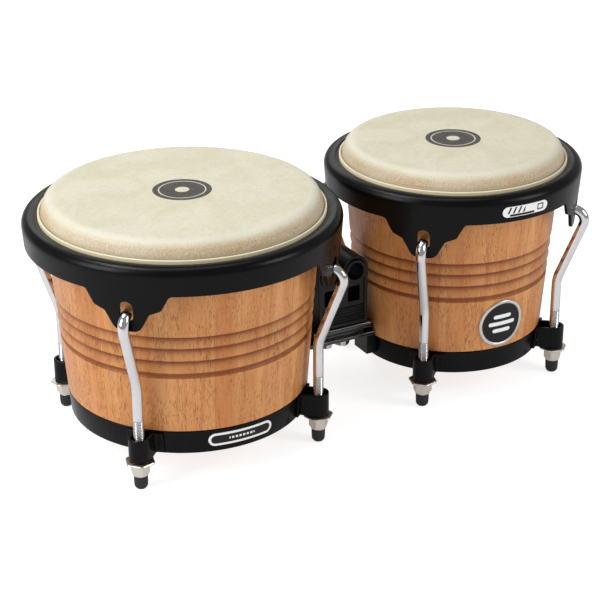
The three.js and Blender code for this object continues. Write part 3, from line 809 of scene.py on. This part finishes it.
def build_rim(drum):
    upper = rim_upper_profile(drum)
    offset = rim_wall_offset(drum)
    wall_radius = drum.cone(150, offset)
    half = tab_columns()
    tab = [(-at, *rest, at) for at, *rest in reversed(half)] + [(at, *rest, at) for at, *rest in half[1:]]
    stations = []  # (angle, lower edge, slot low, slot high, distance from the tab's centre)
    for angle in sorted(drum.lug_angles):
        for at, low, slot_low, slot_high, reach in tab:
            stations.append((angle + math.asin(at / wall_radius), low, slot_low, slot_high, reach))
        span = math.asin(tab[-1][0] / wall_radius)
        free = TAU / 4 - 2 * span
        steps = math.ceil(math.degrees(free) / RIM_STEP_DEGREES)
        edge_heights = half[-1][1:]
        for step in range(1, steps):
            stations.append((angle + span + free * step / steps, *edge_heights, BEYOND_TABS))
    vertices = []
    for angle, low, slot_low, slot_high, _ in stations:
        lower = [(drum.cone(h, offset), h) for h in (low, slot_low, slot_high)]
        inner = [(radius - RIM_WALL, h) for radius, h in reversed(lower)]
        for radius, height in lower + upper + inner:
            vertices.append(polar(radius, angle, height, drum.x))
    rows = len(upper) + 6
    outer_gap, inner_gap = 1, rows - 3
    faces = []
    count = len(stations)
    for column in range(count):
        beside = (column + 1) % count
        a, b = column * rows, beside * rows
        in_slot = max(stations[column][4], stations[beside][4]) <= SLOT_HALF + 1e-6
        for row in range(rows):
            above = (row + 1) % rows
            if in_slot and row in (outer_gap, inner_gap):
                continue
            faces.append((a + row, b + row, b + above, a + above))
        if in_slot:
            faces.append((a + 1, a + rows - 2, b + rows - 2, b + 1))
            faces.append((a + 2, b + 2, b + rows - 3, a + rows - 3))
        for end, wall in ((column, a), (beside, b)):
            at_side = in_slot and abs(stations[end][4] - SLOT_HALF) < 1e-6
            if at_side:
                faces.append((wall + 1, wall + 2, wall + rows - 3, wall + rows - 2))
    rim = make_solid(f"{drum.name}_rolled_rim", vertices, faces, BLACK_COAT, 40)
    bevel(rim, 0.4, 50)
    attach(rim, drum.tuning)
    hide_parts(f"{drum.name}_rim")


# ---- bottom ring and ears
RING_SEGMENTS = 160
RING_BOTTOM = 22.9
RING_MIDDLE = 32.0  # height at which the ears' plan is drawn
RING_LIP = 9.0
EAR_BOTTOM = 23.4
EAR_TOP = 42.0
EAR_HALF = 8.2
EAR_WALL = 2.3
FLANGE_HALF = 14.0


def ring_profile(drum):
    inside = drum.shell_radius - RING_LIP
    ledge_top = SHELL_BOTTOM - RING_GAP
    return rounded(
        [
            (drum.cone(RING_BOTTOM), RING_BOTTOM, 1.1), (drum.cone(RING_TOP), RING_TOP, 0.7),
            (drum.cone(RING_TOP, -RING_WALL), RING_TOP, 0.6),
            (drum.cone(ledge_top, -RING_WALL), ledge_top, 0.6),
            (inside, ledge_top, 0.8), (inside, RING_BOTTOM, 0.8),
        ],
        25,
    )


def ear_path(drum):
    """Middle line of one strap in plan."""
    ring = drum.cone(RING_MIDDLE, EAR_WALL / 2)
    half = EAR_HALF - EAR_WALL / 2
    corners = [(math.sqrt(ring**2 - half**2) + 0.2, half, 2.4)]
    flange = [
        (math.sqrt(ring**2 - y**2), y, 0) for y in (FLANGE_HALF, FLANGE_HALF - 1.6, half + 3.2)
    ]
    side = rounded([*flange, *corners, (drum.rod_circle, half, 0)], 22, closed=False)
    nose = arc(drum.rod_circle, 0, half, half, 90, 0, 9)
    upper = [Vector(p) for p in side[:-1]] + [Vector(p) for p in nose]
    return upper + [Vector((p.x, -p.y)) for p in reversed(upper[:-1])]


def ear_strap(drum, angle):
    path = ear_path(drum)
    heights = [EAR_BOTTOM, (EAR_BOTTOM + EAR_TOP) / 2, EAR_TOP]
    count = len(path)
    vertices = []
    ring = drum.cone(RING_MIDDLE, EAR_WALL / 2)
    for height in heights:
        for index, point in enumerate(path):
            before, after = path[max(index - 1, 0)], path[min(index + 1, count - 1)]
            along = (after - before).normalized()
            across = Vector((along.y, -along.x)) * (EAR_WALL / 2)
            on_ring = max(0.0, 1 - (point.length - ring) / 4.0) if point.length > ring - 1 else 1.0
            lean = on_ring * TAPER * (height - RING_MIDDLE)
            trim = 1.1 * on_ring * (1 if height == EAR_TOP else -1 if height == EAR_BOTTOM else 0)
            for side in (1, -1):
                place = point + across * side + point.normalized() * lean
                x = drum.x + place.x * math.cos(angle) - place.y * math.sin(angle)
                y = place.x * math.sin(angle) + place.y * math.cos(angle)
                vertices.append((x, y, height - trim))
    faces = []
    row = 2 * count
    for level in range(len(heights) - 1):
        for index in range(count - 1):
            for side in (0, 1):
                a = level * row + 2 * index + side
                faces.append((a, a + 2, a + 2 + row, a + row))
        for end in (0, count - 1):
            a = level * row + 2 * end
            faces.append((a, a + 1, a + 1 + row, a + row))
    for level in (0, len(heights) - 1):
        for index in range(count - 1):
            a = level * row + 2 * index
            faces.append((a, a + 1, a + 3, a + 2))
    return vertices, faces


def build_bottom_ring(drum):
    band = turned(outward(ring_profile(drum)), RING_SEGMENTS, drum.x)
    straps = [ear_strap(drum, angle) for angle in drum.lug_angles]
    vertices, faces = joined([band, *straps])
    ring = make_solid(f"{drum.name}_base_ring", vertices, faces, BLACK_COAT, 35)
    bevel(ring, 0.45, 50)
    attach(ring, "frame")
    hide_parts(f"{drum.name}_bottom_ring")


# ---- tuning lugs
ROD_RADIUS = 4.0
ROD_FOOT = 3.6
ROD_BEND = 84.0
ROD_BEND_RADIUS = 30.0
ROD_LEAN = math.radians(20.6)
HOOK_RADIUS = 9.0
HOOK_CENTRE = 136.6
HOOK_REACH = 4.0
THREAD_TOP = 58.0
THREAD_PITCH = 1.25
THREAD_DEPTH = 0.32
THREAD_STEPS = 6
FOOT_CHAMFER = 0.8
ROD_SIDES = 24


def rod_path(rod_circle):
    """The rod's middle line above the thread, in the XZ plane, with +X away from the drum."""
    touch_height = HOOK_CENTRE - HOOK_RADIUS * math.sin(ROD_LEAN)
    touch_x = rod_circle + math.tan(ROD_LEAN) * (touch_height - ROD_BEND)
    centre_x = touch_x - HOOK_RADIUS * math.cos(ROD_LEAN)
    lower = rounded(
        [
            (rod_circle, THREAD_TOP, 0), (rod_circle, ROD_BEND, ROD_BEND_RADIUS),
            (touch_x, touch_height, 0),
        ],
        3,
        closed=False,
    )
    lean = math.degrees(ROD_LEAN)
    hook = arc(centre_x, HOOK_CENTRE, HOOK_RADIUS, HOOK_RADIUS, -lean, 90, 20)
    end = (rod_circle + HOOK_REACH, HOOK_CENTRE + HOOK_RADIUS)
    return [Vector(p) for p in lower[:-1]] + [Vector(p) for p in hook] + [Vector(end)]


def thread_radius(height, angle):
    phase = (height / THREAD_PITCH - angle / TAU) % 1.0
    ramp_up = min(phase, 1 - phase) * 2  # 0 at the root, 1 at the crest
    fade = min(1.0, max(0.0, (THREAD_TOP - height) / 2.5))
    return ROD_RADIUS - THREAD_DEPTH * fade * (1 - min(1.0, ramp_up * 1.25))


def rod_mesh(drum):
    rows = []
    height = ROD_FOOT
    while height < THREAD_TOP - 1e-6:
        chamfer = max(0.0, ROD_FOOT + FOOT_CHAMFER - height)
        ring = []
        for side in range(ROD_SIDES):
            angle = TAU * side / ROD_SIDES
            radius = thread_radius(height, angle) - chamfer
            ring.append(polar(radius, angle, height, drum.rod_circle))
        rows.append(ring)
        height += THREAD_PITCH / THREAD_STEPS
    path = rod_path(drum.rod_circle)
    for index, point in enumerate(path):
        before, after = path[max(index - 1, 0)], path[min(index + 1, len(path) - 1)]
        along = (after - before).normalized()
        across = Vector((along.y, -along.x))
        rows.append(rod_ring(point, across, ROD_RADIUS))
    along = (path[-1] - path[-2]).normalized()
    across = Vector((along.y, -along.x))
    for forward, inset in ((0.35, 0.12), (0.6, 0.45), (0.7, 1.0)):
        rows.append(rod_ring(path[-1] + along * forward, across, ROD_RADIUS - inset))
    vertices = [v for ring in rows for v in ring]
    faces = []
    for row in range(len(rows) - 1):
        for side in range(ROD_SIDES):
            beside = (side + 1) % ROD_SIDES
            a, b = row * ROD_SIDES, (row + 1) * ROD_SIDES
            faces.append((a + side, a + beside, b + beside, b + side))
    faces.append(tuple(range(ROD_SIDES))[::-1])
    faces.append(tuple(range(len(vertices) - ROD_SIDES, len(vertices))))
    return vertices, faces


def rod_ring(point, across, radius):
    ring = []
    for side in range(ROD_SIDES):
        angle = TAU * side / ROD_SIDES
        out = across * (radius * math.cos(angle))
        ring.append((point.x + out.x, radius * math.sin(angle), point.y + out.y))
    return ring


def hexagon_radius(angle, across_flats):
    """Distance from the middle to the side of a hexagon, in a direction."""
    sixth = TAU / 6
    return across_flats / 2 / math.cos((angle + sixth / 2) % sixth - sixth / 2)


def ringed(section, columns=72):
    """A closed band round Z whose section, a function of angle, gives (radius, height) points."""
    rings = [section(TAU * column / columns) for column in range(columns)]
    rows = len(rings[0])
    vertices = []
    for column, ring in enumerate(rings):
        angle = TAU * column / columns
        for radius, height in ring:
            vertices.append(polar(radius, angle, height))
    faces = []
    for column in range(columns):
        a, b = column * rows, (column + 1) % columns * rows
        for row in range(rows):
            above = (row + 1) % rows
            faces.append((a + row, b + row, b + above, a + above))
    return vertices, faces


BORE = 4.35
WASHER = {"bottom": 20.2, "top": 23.0, "flats": 20.6, "neck": 8.2}
NUT = {"bottom": 10.8, "collar_top": 13.3, "top": 19.9, "flats": 13.0, "collar": 6.1}


def washer_section(angle):
    """A hexagonal plate with a thick rolled edge and a tapering underside."""
    reach = min(hexagon_radius(angle, WASHER["flats"]), 11.5)
    low, high, neck = WASHER["bottom"], WASHER["top"], WASHER["neck"]
    return [
        (BORE, low), (neck - 0.5, low), (neck, low + 0.15), (reach - 1.1, high - 1.75),
        (reach - 0.35, high - 1.55), (reach, high - 1.1), (reach, high - 0.55),
        (reach - 0.3, high - 0.12), (reach - 0.8, high), (BORE + 0.4, high), (BORE, high - 0.4),
    ]


def nut_section(angle):
    """A hexagon nut with turned corners above a round locking collar."""
    reach = hexagon_radius(angle, NUT["flats"])
    flat = NUT["flats"] / 2
    slope = max(0.0, reach - flat - 0.05) * 0.58
    low, collar_top, high, collar = NUT["bottom"], NUT["collar_top"], NUT["top"], NUT["collar"]
    return [
        (BORE, low), (collar - 1.3, low), (collar - 0.4, low + 0.35), (collar, low + 1.1),
        (collar, collar_top - 0.1), (flat - 0.15, collar_top), (reach, collar_top + 0.1 + slope),
        (reach, high - 0.1 - slope), (flat - 0.15, high), (BORE + 0.4, high), (BORE, high - 0.4),
    ]


def foot_profile():
    return rounded(
        [
            (0, 0, 0), (3.4, 0, 1.2), (5.0, 2.0, 2.6), (5.28, 6, 0), (5.3, 9.4, 0),
            (5.3, 10.35, 0.45), (4.45, 10.35, 0.3), (4.4, 4.0, 0), (0, 3.9, 0),
        ],
        14,
        closed=False,
    )


def build_lugs(drum):
    first = {}
    for lug, angle, foot_centre in zip(LUGS, drum.lug_angles, drum.feet):
        spin = Matrix.Rotation(angle, 4, "Z")
        at_axis = Matrix.Translation((drum.x * MM, 0, 0)) @ spin
        at_rod = Matrix.Translation((foot_centre.x * MM, foot_centre.y * MM, 0)) @ spin
        name = drum.name
        made = (
            (f"{name}_tuning_rod_{lug}", f"{name}_rod_{lug}", at_axis, drum.tuning, "rod_chrome"),
            (f"{name}_flange_{lug}", f"{name}_washer_{lug}", at_rod, "frame", "hardware_nickel"),
            (f"{name}_lock_nut_{lug}", f"{name}_nut_{lug}", at_rod, f"{name}_nut_{lug}", "hardware_nickel"),
            (f"{name}_rubber_tip_{lug}", f"{name}_foot_{lug}", at_rod, drum.tuning, "foot_rubber"),
        )
        for kind, (title, node, place, body, slot) in enumerate(made):
            if kind in first:
                piece = copy_piece(first[kind], title, place)
            else:
                piece = first[kind] = first_of_kind(kind, drum, title, place)
            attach(piece, body)
            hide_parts(node)


def first_of_kind(kind, drum, title, place):
    shapes = (
        lambda: (rod_mesh(drum), CHROME, 30),
        lambda: (ringed(washer_section), NICKEL, 28),
        lambda: (ringed(nut_section), NICKEL, 28),
        lambda: (turned(foot_profile(), 40, closed=False), RUBBER, 40),
    )
    (vertices, faces), material, degrees = shapes[kind]()
    return make_solid(title, vertices, faces, material, degrees, place)


# ---- badge and labels
FILM_GAP = 0.3
LABEL_ROWS = 6
LABEL_TURN_STEPS = 8
BADGE_SEGMENTS = 72
RING_LABEL = {"half_width": 26.0, "half_height": 5.25, "height": 33.4, "thickness": 0.5}
RIM_LABEL = {"half_width": 20.5, "half_height": 4.3, "height": 170.4, "thickness": 0.5}
BADGE_RADIUS = 20.2
BADGE_HEIGHT = 64.4
BADGE_FIELD_RADIUS = 17.6


def on_front(drum, across, height, offset):
    """A point of the drum's cone on the -Y side."""
    radius = drum.cone(height, offset)
    return (drum.x + across, -math.sqrt(radius * radius - across * across), height)


def build_label(title, drum, label, offset, node, body, material):
    """A pill-shaped film that hugs the cone."""
    half_width, half_height = label["half_width"], label["half_height"]
    straight = half_width - half_height
    quarter = [math.sin(i * TAU / 4 / LABEL_TURN_STEPS) for i in range(1, LABEL_TURN_STEPS + 1)]
    turn = [straight + half_height * sine for sine in quarter]
    inner = [straight * i / 14 for i in range(-14, 15)]
    columns = [-c for c in reversed(turn)] + inner + turn
    rows = LABEL_ROWS
    low, high = offset + FILM_GAP, offset + FILM_GAP + label["thickness"]
    vertices = []
    for lift in (high, low):
        for across in columns:
            beyond = max(abs(across) - straight, 0.0)
            reach = math.sqrt(max(half_height**2 - beyond**2, 0.0025))
            for row in range(rows + 1):
                height = label["height"] + reach * (2 * row / rows - 1)
                vertices.append(on_front(drum, across, height, lift))
    per_column = rows + 1
    back = len(columns) * per_column
    faces = []
    for column in range(len(columns) - 1):
        a, b = column * per_column, (column + 1) * per_column
        for row in range(rows):
            faces.append((a + row, b + row, b + row + 1, a + row + 1))
            faces.append((back + a + row, back + a + row + 1, back + b + row + 1, back + b + row))
        for row in (0, rows):
            faces.append((a + row, b + row, back + b + row, back + a + row))
    for a in (0, back - per_column):
        for row in range(rows):
            faces.append((a + row, a + row + 1, back + a + row + 1, back + a + row))
    piece = make_solid(title, vertices, faces, material, 40)
    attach(piece, body)
    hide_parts(node)


def build_badge(drum, field_material):
    """A round badge: a sunk printed field inside a raised metal border."""
    edge = BADGE_FIELD_RADIUS
    section = [(0, 0.62), (4, 0.62), (8, 0.62), (12, 0.62), (15, 0.62), (edge, 0.62)]
    border_start = len(section)
    section += [(edge + 0.12, 0.72), (edge + 0.35, 1.05), (edge + 0.8, 1.19), (edge + 1.8, 1.19)]
    section += [(BADGE_RADIUS - 0.35, 1.08), (BADGE_RADIUS, 0.8), (BADGE_RADIUS, FILM_GAP)]
    section += [(r, FILM_GAP) for r in (15, 10, 5, 0)]
    segments = BADGE_SEGMENTS
    vertices, rows = [], []
    for radius, lift in section:
        count = 1 if radius == 0 else segments
        rows.append([len(vertices) + i % count for i in range(segments)])
        for index in range(count):
            angle = TAU * index / segments
            across, up = radius * math.cos(angle), radius * math.sin(angle)
            vertices.append(on_front(drum, across, BADGE_HEIGHT + up, lift))
    faces, slots = [], []
    for row in range(len(rows) - 1):
        for index in range(segments):
            beside = (index + 1) % segments
            ring = (rows[row][index], rows[row + 1][index], rows[row + 1][beside], rows[row][beside])
            faces.append(tuple(dict.fromkeys(ring)))
            slots.append(0 if row < border_start - 1 else 1)
    badge = make_piece(f"{drum.name}_round_badge", vertices, faces, [field_material, BADGE_METAL], 50)
    badge.data.polygons.foreach_set("material_index", slots)
    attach(badge, "frame")
    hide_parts(f"{drum.name}_badge")


# ---- centre block
BLOCK_WIDTH = 45.4
BLOCK_HALF_DEPTH = 19.0
BLOCK_BOTTOM = 61.9
BLOCK_SHOULDER = 109.8
ARCH_RADIUS = 11.2
BORE_OFFSET = 11.0
BORE_HEIGHT = 108.0
BORE_RADIUS = 7.0
COLLAR_RADIUS = 9.6
COLLAR_PROUD = 1.4
BORDER = 2.8  # width of the raised edge
BORDER_PROUD = 1.3
WINDOW_OFFSET = 10.7
WINDOW = (10.5, 13.0, 88.0)  # width, height and middle
WINDOW_DEPTH = 14.0
LAYER_SUNK = 0.4  # how far border, collars and ribs reach into the block
RIBS = {"first": 66.6, "pitch": 2.6, "count": 5, "half_height": 0.65, "proud": 0.75}
BAR = {"bottom": 54.6, "top": 61.5, "depth": 39.0, "length": 53.0, "round": 3.2}
BASE = {"bottom": 48.4, "top": 52.2, "depth": 41.0, "length": 60.0, "round": 1.5}
SPACER = {"bottom": 51.9, "top": 54.7, "depth": 34.0, "length": 42.0, "round": 0.5}


def block_outline(inset=0.0):
    """The block's front outline: a flat foot, upright sides and two arches side by side."""
    half = BLOCK_WIDTH / 2 - inset
    radius = ARCH_RADIUS - inset
    centre = BLOCK_WIDTH / 2 - ARCH_RADIUS
    low = BLOCK_BOTTOM + inset
    foot = rounded([(-half, low, 1.2), (half, low, 1.2), (half, BLOCK_SHOULDER, 0)])
    points = [tuple(p) for p in foot[:-1]]
    points += arc(centre, BLOCK_SHOULDER, radius, radius, 0, 180, 20)
    points += arc(-centre, BLOCK_SHOULDER, radius, radius, 0, 180, 20)
    return points


def block_piece(title, parts, soft, block_x, node=None):
    """One piece made of several prisms: (outline, holes, low, high) along Y."""
    vertices, faces = joined([prism(*part) for part in parts])
    place = Matrix.Translation((block_x * MM, 0, 0))
    piece = make_solid(title, vertices, faces, CAST_BLACK, 32, place)
    bevel(piece, soft)
    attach(piece, "frame")
    if node:
        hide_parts(node)


def build_block():
    low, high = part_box("centre_block")
    block_x = (low.x + high.x) / 2 / MM
    bores = [circle_outline(BORE_RADIUS, side * BORE_OFFSET, BORE_HEIGHT) for side in (-1, 1)]
    width, height, middle = WINDOW
    windows = [box_outline(width, height, 1.2, side * WINDOW_OFFSET, middle) for side in (-1, 1)]
    face = BLOCK_HALF_DEPTH - BORDER_PROUD
    core = block_outline(0.4)
    floor = BLOCK_HALF_DEPTH - WINDOW_DEPTH
    body = [(core, bores, -floor - 0.1, floor + 0.1)]
    for side in (-1, 1):
        ends = sorted((side * floor, side * face))
        body.append((core, bores + windows, *ends))
    block_piece("block_body", body, 0.35, block_x, "centre_block")
    for side, word in ((-1, "front"), (1, "back")):
        root = side * (face - LAYER_SUNK)
        ends = sorted((root, side * BLOCK_HALF_DEPTH))
        edge = [(block_outline(), [block_outline(BORDER)], *ends)]
        block_piece(f"block_{word}_border", edge, 0.5, block_x)
        collar_ends = sorted((root, side * (BLOCK_HALF_DEPTH + COLLAR_PROUD)))
        collars = []
        for at in (-BORE_OFFSET, BORE_OFFSET):
            rim_line = circle_outline(COLLAR_RADIUS, at, BORE_HEIGHT)
            collars.append((rim_line, [circle_outline(BORE_RADIUS, at, BORE_HEIGHT)], *collar_ends))
        block_piece(f"block_{word}_collars", collars, 0.5, block_x)
        rib_ends = sorted((root, side * (face + RIBS["proud"])))
        ribs = []
        for index in range(RIBS["count"]):
            middle_height = RIBS["first"] + RIBS["pitch"] * index
            length = BLOCK_WIDTH - 2 * BORDER + 0.4
            ribs.append((box_outline(length, 2 * RIBS["half_height"], 0.3, 0, middle_height), [], *rib_ends))
        block_piece(f"block_{word}_ribs", ribs, 0.25, block_x)
    return block_x


def build_bar(title, sections, block_x, node):
    """Bars along X with rounded front and back edges."""
    meshes = []
    for size in sections:
        tall = size["top"] - size["bottom"]
        middle = (size["top"] + size["bottom"]) / 2
        outline = box_outline(size["depth"], tall, size["round"], 0, middle, 10)
        half = size["length"] / 2
        meshes.append(prism(outline, [], -half, half))
    vertices, faces = joined(meshes)
    place = Matrix.Translation((block_x * MM, 0, 0)) @ Matrix.Rotation(TAU / 4, 4, "Z")
    piece = make_solid(title, vertices, faces, BAR_COAT, 32, place)
    bevel(piece, 0.5)
    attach(piece, "frame")
    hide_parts(node)


def dress_node(node, material, soft):
    """A CAD node that stays, with its real material and soft edges."""
    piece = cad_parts[node]
    piece.data.materials.clear()
    piece.data.materials.append(material)
    smooth(piece.data, 30)
    bevel(piece, soft)


def build_centre():
    block_x = build_block()
    build_bar("pressed_bar", [BAR], block_x, "clamp_bar")
    build_bar("base_and_spacer", [BASE, SPACER], block_x, "base_plate")
    for drum in DRUMS:
        dress_node(f"{drum.name}_bracket", CAST_BLACK, 0.6)
    for bolt in LUGS:
        dress_node(f"block_bolt_{bolt}", NICKEL, 0.35)


# ---- assembly
for drum in DRUMS:
    build_shell(drum, wood_material(drum))
    build_head(drum, rawhide_material(drum))
    build_rim(drum)
    build_bottom_ring(drum)
    build_lugs(drum)
build_centre()
ring_film = film_material("ring_label_film", LARGE, RING_LABEL["height"], outlined_pill)
build_label("ring_label", LARGE, RING_LABEL, 0.0, "large_ring_label", "frame", ring_film)
rim_film = film_material("rim_label_film", SMALL, RIM_LABEL["height"], striped_pill)
build_label(
    "rim_label", SMALL, RIM_LABEL, rim_wall_offset(SMALL), "small_rim_label", SMALL.tuning, rim_film
)
build_badge(SMALL, film_material("badge_field", SMALL, BADGE_HEIGHT, badge_artwork))


# ---- studio
LIT_POINT = (0.0, 0.0, 0.1)
SOFTBOXES = (  # name, place, width, height and power, in metres and watts
    ("overhead", (0.0, 0.1, 1.9), 1.2, 0.8, 5.5),
    ("key", (-0.68, 0.32, 1.6), 0.8, 0.3, 10),
    ("left", (-1.65, -0.1, 1.0), 0.8, 1.1, 17.5),
    ("right_front", (1.2, -1.3, 1.0), 0.6, 0.9, 10.5),
    ("back", (0.6, 1.7, 1.2), 1.6, 0.8, 5),
)
FLOOR_HALF = 6.0
CAMERA_ANGLES = (-28.301, 24.353, -0.277)  # azimuth, elevation and roll, in degrees
CAMERA_DISTANCE = 1.3853
CAMERA_TARGET = (-0.0125, 0.0, 0.0840)


def make_floor():
    size = FLOOR_HALF
    n = Nodes("studio_floor")
    cloud = n.noise(n.coordinates, 3, 3, 0.5)
    n.set(Base_Color=n.mix(cloud, (0.56, 0.56, 0.56), (0.60, 0.60, 0.60)), Roughness=0.85)
    n.set(Emission_Color=(1, 1, 1, 1))
    # A dimmer floor in mirror-like surfaces keeps the black metal deep and the chrome grey.
    seen_in_gloss = n.add("ShaderNodeLightPath").outputs["Is Glossy Ray"]
    n.set(Emission_Strength=n.ramp(seen_in_gloss, 0, 1, 0.78, 0.2))
    corners = [(-size, -size, 0), (size, -size, 0), (size, size, 0), (-size, size, 0)]
    floor = make_piece("studio_floor", [Vector(c) / MM for c in corners], [(0, 1, 2, 3)], n.material)


def make_softbox(name, place, width, height, power):
    data = bpy.data.lights.new(name, "AREA")
    data.shape = "RECTANGLE"
    data.size, data.size_y = width, height
    data.energy = power
    light = bpy.data.objects.new(name, data)
    light.location = place
    light.rotation_mode = "QUATERNION"
    light.rotation_quaternion = (Vector(place) - Vector(LIT_POINT)).to_track_quat("Z", "Y")
    bpy.context.scene.collection.objects.link(light)


def make_camera():
    azimuth, elevation, roll = (math.radians(a) for a in CAMERA_ANGLES)
    level = math.cos(elevation)
    back = Vector((math.sin(azimuth) * level, -math.cos(azimuth) * level, math.sin(elevation)))
    data = bpy.data.cameras.new("camera")
    data.lens = 104.33
    data.sensor_width = 36.0
    camera = bpy.data.objects.new("camera", data)
    camera.rotation_mode = "QUATERNION"
    camera.location = Vector(CAMERA_TARGET) + back * CAMERA_DISTANCE
    upright = back.to_track_quat("Z", "Y")
    camera.rotation_quaternion = upright @ Matrix.Rotation(roll, 3, "Z").to_quaternion()
    bpy.context.scene.collection.objects.link(camera)
    bpy.context.scene.camera = camera


def make_studio():
    scene = bpy.context.scene
    world = bpy.data.worlds.new("studio")
    world.use_nodes = True
    background = world.node_tree.nodes["Background"]
    background.inputs["Color"].default_value = (1.0, 1.0, 1.0, 1)
    background.inputs["Strength"].default_value = 0.3
    scene.world = world
    scene.view_settings.view_transform = "Standard"
    for name, place, width, height, power in SOFTBOXES:
        make_softbox(name, place, width, height, power)


make_floor()
make_camera()
make_studio()
